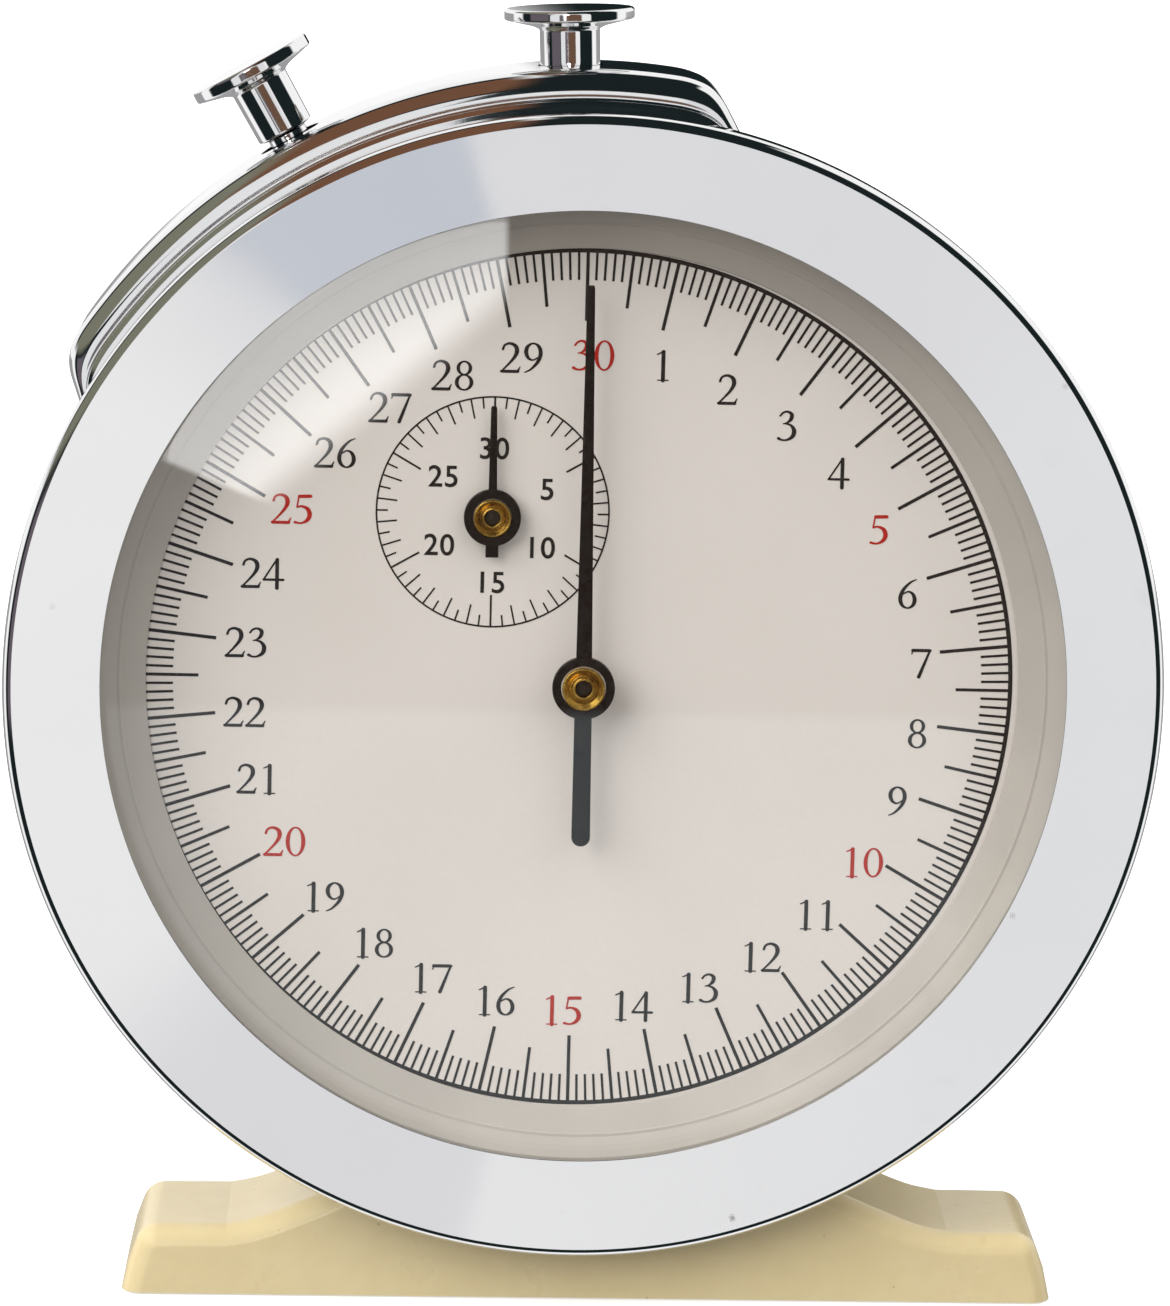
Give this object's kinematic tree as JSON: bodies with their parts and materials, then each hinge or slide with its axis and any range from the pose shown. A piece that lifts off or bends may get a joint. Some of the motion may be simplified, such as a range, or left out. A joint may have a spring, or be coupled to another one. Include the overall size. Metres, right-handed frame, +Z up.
{
  "type": "bench stop clock",
  "caption": "Round mechanical stop clock on a moulded stand, with sweep and minute hands, a winding crown that starts and stops it, and a reset button.",
  "frame": {"origin": "the point of the stand's underside below the dial's centre, midway between bezel and back", "axes": "+Z up, -Y the way the dial faces, +X to the right of someone reading the dial"},
  "size_m": [0.1134, 0.034, 0.1286],
  "materials": {
    "chrome": "polished chrome plate",
    "case_steel": "plated, satin",
    "steel": "bright steel",
    "brass": "turned brass",
    "plate_brass": "brushed brass",
    "stand_plastic": "glossy moulded cream plastic",
    "dial_paint": "matt cream paint",
    "ring_paint": "matt grey-beige paint",
    "hand_black": "satin black paint",
    "crystal_glass": "clear",
    "gasket_rubber": "matt",
    "ring_plastic": "moulded",
    "blued_steel": "blued"
  },
  "bodies": {
    "case": {"back_cover": "chrome", "back_cover_screw_1": "steel", "back_cover_screw_2": "steel", "back_cover_screw_3": "steel", "back_plate": "plate_brass", "balance_cock": "plate_brass", "base_clamp_plate": "steel", "base_screw_left": "steel", "base_screw_right": "steel", "base_stand": "stand_plastic", "bezel": "chrome", "button_housing": "chrome", "case_drum": "case_steel", "crown_spring": "steel", "crown_tube": "steel", "crystal": "crystal_glass", "crystal_gasket": "gasket_rubber", "dial": "dial_paint", "dial_ring": "ring_paint", "front_plate": "plate_brass", "hairspring": "blued_steel", "movement_ring": "ring_plastic", "plate_pillar_1": "brass", "plate_pillar_2": "brass", "plate_pillar_3": "brass", "plate_pillar_4": "brass", "reset_spring": "steel", "reset_tube": "steel"},
    "start_sleeve": {"start_sleeve": "steel"},
    "crown": {"crown": "chrome", "winding_stem": "steel"},
    "reset_button": {"reset_button": "chrome"},
    "sweep_train": {"sweep_wheel": "brass", "sweep_hand": "hand_black", "sweep_hand_bush": "brass"},
    "minute_train": {"minute_wheel": "brass", "minute_hand": "hand_black", "minute_hand_bush": "brass"},
    "third_wheel": {"third_wheel": "brass"},
    "barrel": {"barrel": "brass", "mainspring": "blued_steel"},
    "escape_wheel": {"escape_wheel": "steel"},
    "pallet_fork": {"pallet_fork": "steel"},
    "balance_wheel": {"balance_wheel": "brass"},
    "ratchet_wheel": {"ratchet_wheel": "steel"},
    "crown_wheel": {"crown_wheel": "steel"},
    "click": {"click": "steel"},
    "start_lever": {"start_lever": "steel"},
    "reset_hammer": {"reset_hammer": "steel"}
  },
  "joints": [
    {"name": "crown_press", "type": "slide", "parent": "case", "child": "start_sleeve", "axis": [0.0366, 0, -0.9993], "range_m": [0, 0.0015], "stiffness_N_per_m": 300, "springref_m": -0.001, "deforming": ["crown_spring"]},
    {"name": "crown_wind", "type": "hinge", "parent": "start_sleeve", "child": "crown", "pos_m": [-0.00242, -0.002, 0.12846], "axis": [-0.0366, 0, 0.9993], "continuous": true},
    {"name": "reset_press", "type": "slide", "parent": "case", "child": "reset_button", "axis": [0.4909, 0, -0.8712], "range_m": [0, 0.0015], "stiffness_N_per_m": 300, "springref_m": -0.001, "deforming": ["reset_spring"]},
    {"name": "sweep_spin", "type": "hinge", "parent": "case", "child": "sweep_train", "pos_m": [0, -0.004, 0.0625], "axis": [0, 1, 0], "continuous": true},
    {"name": "minute_spin", "type": "hinge", "parent": "case", "child": "minute_train", "pos_m": [-0.0092, 0.0005, 0.079], "axis": [0, 1, 0], "continuous": true},
    {"name": "third_spin", "type": "hinge", "parent": "case", "child": "third_wheel", "pos_m": [0.00361, -0.0019, 0.07473], "axis": [0, 1, 0], "continuous": true},
    {"name": "barrel_spin", "type": "hinge", "parent": "case", "child": "barrel", "pos_m": [-0.0193, 0.005, 0.08869], "axis": [0, 1, 0], "continuous": true},
    {"name": "escape_spin", "type": "hinge", "parent": "case", "child": "escape_wheel", "pos_m": [0.00879, 0.0005, 0.05512], "axis": [0, 1, 0], "continuous": true},
    {"name": "balance_swing", "type": "hinge", "parent": "case", "child": "balance_wheel", "pos_m": [0.02013, 0.0119, 0.04561], "axis": [0, 1, 0], "range_deg": [-220, 220], "stiffness_Nm_per_rad": 0.00004},
    {"name": "pallet_rock", "type": "hinge", "parent": "case", "child": "pallet_fork", "pos_m": [0.014, 0.0005, 0.05075], "axis": [0, 1, 0], "range_deg": [-5, 5]},
    {"name": "crown_wheel_spin", "type": "hinge", "parent": "case", "child": "crown_wheel", "pos_m": [-0.00115, 0.0022, 0.09398], "axis": [0, 1, 0], "continuous": true},
    {"name": "ratchet_spin", "type": "hinge", "parent": "case", "child": "ratchet_wheel", "pos_m": [-0.0193, 0.0024, 0.08869], "axis": [0, 1, 0], "continuous": true},
    {"name": "click_lift", "type": "hinge", "parent": "case", "child": "click", "pos_m": [-0.03397, 0.0025, 0.09128], "axis": [0, 1, 0], "range_deg": [0, 8], "stiffness_Nm_per_rad": 0.001},
    {"name": "start_lever_swing", "type": "hinge", "parent": "case", "child": "start_lever", "pos_m": [0.012, -0.0037, 0.1051], "axis": [0, 1, 0], "range_deg": [-6.6, 0]},
    {"name": "hammer_swing", "type": "hinge", "parent": "case", "child": "reset_hammer", "pos_m": [-0.032, -0.002, 0.0919], "axis": [0, 1, 0], "range_deg": [0, 6.6]}
  ],
  "couplings": [
    {"joint": "third_spin", "follows": "sweep_spin", "ratio": -0.13333},
    {"joint": "minute_spin", "follows": "sweep_spin", "ratio": 0.016667},
    {"joint": "barrel_spin", "follows": "sweep_spin", "ratio": -0.0027778},
    {"joint": "escape_spin", "follows": "sweep_spin", "ratio": -7.5},
    {"joint": "pallet_rock", "follows": "balance_swing", "ratio": -0.02},
    {"joint": "crown_wheel_spin", "follows": "crown_wind", "ratio": -0.4},
    {"joint": "ratchet_spin", "follows": "crown_wind", "ratio": 0.22222},
    {"joint": "start_lever_swing", "follows": "crown_press", "rad_per_m": -73},
    {"joint": "hammer_swing", "follows": "reset_press", "rad_per_m": 73.3}
  ]
}
